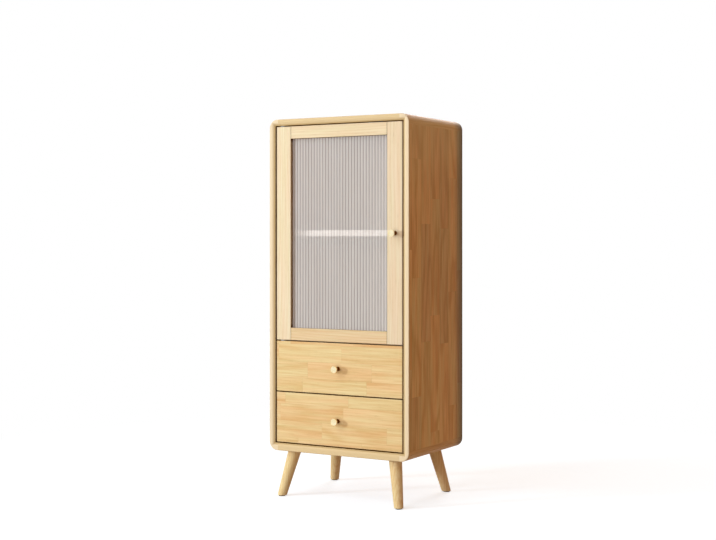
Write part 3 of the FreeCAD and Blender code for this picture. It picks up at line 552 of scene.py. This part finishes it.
# Painted shade on the knob's neck, flare and foot
PAINTED_NECK_SHADE = (KNOB_FACE + 0.0065, KNOB_FACE + 0.0085, "6a3c0c")
MATERIALS = {
    "side": wood("wood_side", grain="z", depth="x", gloss=0.1, marks=SIDE_MARKS, **CASE_STYLE),
    "corner": wood("wood_corner", grain="y", depth="x", gloss=0.1, marks=OUTSIDE_MARKS, **CORNER_STYLE),
    "board": wood("wood_board", grain="x", depth="z", gloss=0.15, marks=BOARD_MARKS, **CASE_STYLE),
    "leg": wood("wood_leg", "f7ddab", "e9c58c", "z", spread=0.02, gloss=0.15),
    "stile": wood("wood_stile", "f7e5c8", "ecd2a8", "z", marks=(PAINTED_EDGE_SHADE,), **FRAME_STYLE),
    "top_rail": wood("wood_top_rail", "f6e3c2", "ead0a6", "x", marks=(RAIL_JOINT,), **FRAME_STYLE),
    "bottom_rail": wood("wood_bottom_rail", "f3dbb2", "e5c391", "x", marks=(RAIL_JOINT,), **FRAME_STYLE),
    "drawer": wood("wood_drawer", grain="x", marks=(PAINTED_EDGE_SHADE,), **DRAWER_STYLE),
    "inside": wood("wood_inside", "e9dcc6", "d9c5a2", "x", "z", 0.06, 0.4),
    "shelf": wood("wood_shelf", "fbf4e6", "f3e6cd", "x", "z", 0.06, 0.4, 0.02, marks=(WHITE_EDGE,)),
    "back": wood("wood_back", "d9cebc", "c7b799", "z", marks=(WARM_BACK,)),
    "box_y": wood("wood_box", "efdcb8", "ddc092", "y", "x"),
    "box_x": wood("wood_box_back", "efdcb8", "ddc092", "x"),
    "dowel": wood("wood_dowel", "e8cfa4", "cfa873", "x"),
    "brass": metal("brass", "fbeec8", "f6e3b0", 0.2, (2500, 60, 2500), PAINTED_NECK_SHADE),
    "zinc": metal("zinc_steel", "c9cbce", "a9acb1", 0.32, (900, 20, 900)),
    "white": plastic("white_nylon", "e6e3dc", "d6d2c8", 0.45),
    "felt": plastic("brown_felt", "4a3524", "352417", 0.9),
    "glass": reeded_glass(),
}
# The first pattern that fits a node's name gives its material
FINISHES = (
    ("leg_bolts", "zinc"),
    ("leg_inserts", "zinc"),
    ("leg_*", "leg"),
    ("corner_*", "corner"),
    ("*_side", "side"),
    ("top_panel", "board"),
    ("bottom_panel", "board"),
    ("back_panel", "back"),
    ("divider", "inside"),
    ("shelf", "shelf"),
    ("door_*_stile", "stile"),
    ("glazing_beads", "stile"),
    ("door_top_rail", "top_rail"),
    ("door_bottom_rail", "bottom_rail"),
    ("glass_pane", "glass"),
    ("*_drawer_front", "drawer"),
    ("*_drawer_left", "box_y"),
    ("*_drawer_right", "box_y"),
    ("*_drawer_back", "box_x"),
    ("*_drawer_bottom", "box_x"),
    ("*_knob", "brass"),
    ("*_dowels", "dowel"),
    ("magnet_catch", "white"),
    ("pivot_bushes", "white"),
    ("foot_glides", "felt"),
    ("*", "zinc"),
)
for node_name, node_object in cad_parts.items():
    chosen = next(finish for pattern, finish in FINISHES if fnmatchcase(node_name, pattern))
    node_object.data.materials.clear()
    node_object.data.materials.append(MATERIALS[chosen])


# Modelled pieces


def add_piece(name, points, faces, material, body, node):
    """Mesh piece on a body, standing for a CAD node."""
    mesh = bpy.data.meshes.new(name)
    mesh.from_pydata(points, [], faces)
    mesh.materials.append(MATERIALS[material])
    mesh.shade_smooth()
    mesh.set_sharp_from_angle(angle=math.radians(SMOOTH_ANGLE))
    piece = bpy.data.objects.new(name, mesh)
    scene.collection.objects.link(piece)
    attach(piece, body)
    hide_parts(node)


def lathe(profile, centre):
    """Closed skin turned about the Y axis through centre, from pairs of radius and height to the front."""
    turns = [2 * math.pi * step / ROUND_STEPS for step in range(ROUND_STEPS)]
    points = []
    for radius, out in profile:
        for turn in turns:
            x = centre[0] + radius * math.cos(turn)
            z = centre[2] + radius * math.sin(turn)
            points.append((x, centre[1] - out, z))
    faces = []
    for ring in range(len(profile) - 1):
        low = ring * ROUND_STEPS
        high = low + ROUND_STEPS
        for step in range(ROUND_STEPS):
            after = (step + 1) % ROUND_STEPS
            faces.append((low + step, low + after, high + after, high + step))
    last = (len(profile) - 1) * ROUND_STEPS
    faces.append(tuple(reversed(range(ROUND_STEPS))))
    faces.append(tuple(last + step for step in range(ROUND_STEPS)))
    return points, faces


def arc(centre, radius, start, stop, steps):
    """Points on a circle in the radius and height plane, angles in degrees."""
    turns = [math.radians(start + (stop - start) * i / steps) for i in range(steps + 1)]
    return [(centre[0] + radius * math.cos(t), centre[1] + radius * math.sin(t)) for t in turns]


# Profile of a knob as radius and height: foot with a bead, slim neck, flare, and disc head with round edges
KNOB_FOOT = [(0.0020, 0.0), (0.0060, 0.0)] + arc((0.0058, 0.0007), 0.0007, -90, 90, 6)
KNOB_NECK = [(0.0052, 0.0016), (0.0046, 0.0032), (0.0043, 0.0060), (0.0042, 0.0100), (0.0043, 0.0140)]
KNOB_FLARE = [(0.0048, 0.0168), (0.0062, 0.0190), (0.0082, 0.0204), (0.0094, 0.0212)]
KNOB_RIM = arc((0.0097, 0.0220), 0.0008, -60, 0, 4) + arc((0.0095, 0.0258), 0.0010, 0, 80, 5)
KNOB_DISC = [(0.0090, 0.0270), (0.0040, 0.0270)]
KNOB_PROFILE = KNOB_FOOT + KNOB_NECK + KNOB_FLARE + KNOB_RIM + KNOB_DISC


def add_knob(body):
    node = body + "_knob"
    low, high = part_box(node)
    centre = ((low.x + high.x) / 2, high.y, (low.z + high.z) / 2)
    points, faces = lathe(KNOB_PROFILE, centre)
    add_piece("piece_" + node, points, faces, "brass", body, node)


def add_glass():
    """Reeded pane: rounded ribs on the front, flat behind."""
    run = (FLUTE_PITCH - FLUTE_LAND) / 2
    radius = (run ** 2 + FLUTE_DEEP ** 2) / (2 * FLUTE_DEEP)
    front = [(PANE_LOW.x, PANE_LOW.y)]
    for flute in range(FLUTE_COUNT):
        left = FLUTE_START + flute * FLUTE_PITCH + FLUTE_LAND / 2
        for step in range(2 * FLUTE_STEPS + 1):
            across = run * step / FLUTE_STEPS
            from_rib = min(across, 2 * run - across)
            sink = radius - math.sqrt(radius ** 2 - from_rib ** 2)
            front.append((left + across, PANE_LOW.y + sink))
    front.append((PANE_HIGH.x, PANE_LOW.y))
    section = front + [(PANE_HIGH.x, PANE_HIGH.y), (PANE_LOW.x, PANE_HIGH.y)]
    size = len(section)
    points = [(x, y, z) for z in (PANE_LOW.z, PANE_HIGH.z) for x, y in section]
    faces = [(i, (i + 1) % size, size + (i + 1) % size, size + i) for i in range(size)]
    faces.append(tuple(reversed(range(size))))
    faces.append(tuple(range(size, 2 * size)))
    add_piece("piece_glass", points, faces, "glass", "door", "glass_pane")


for moving_body in ("door", "upper_drawer", "lower_drawer"):
    add_knob(moving_body)
add_glass()
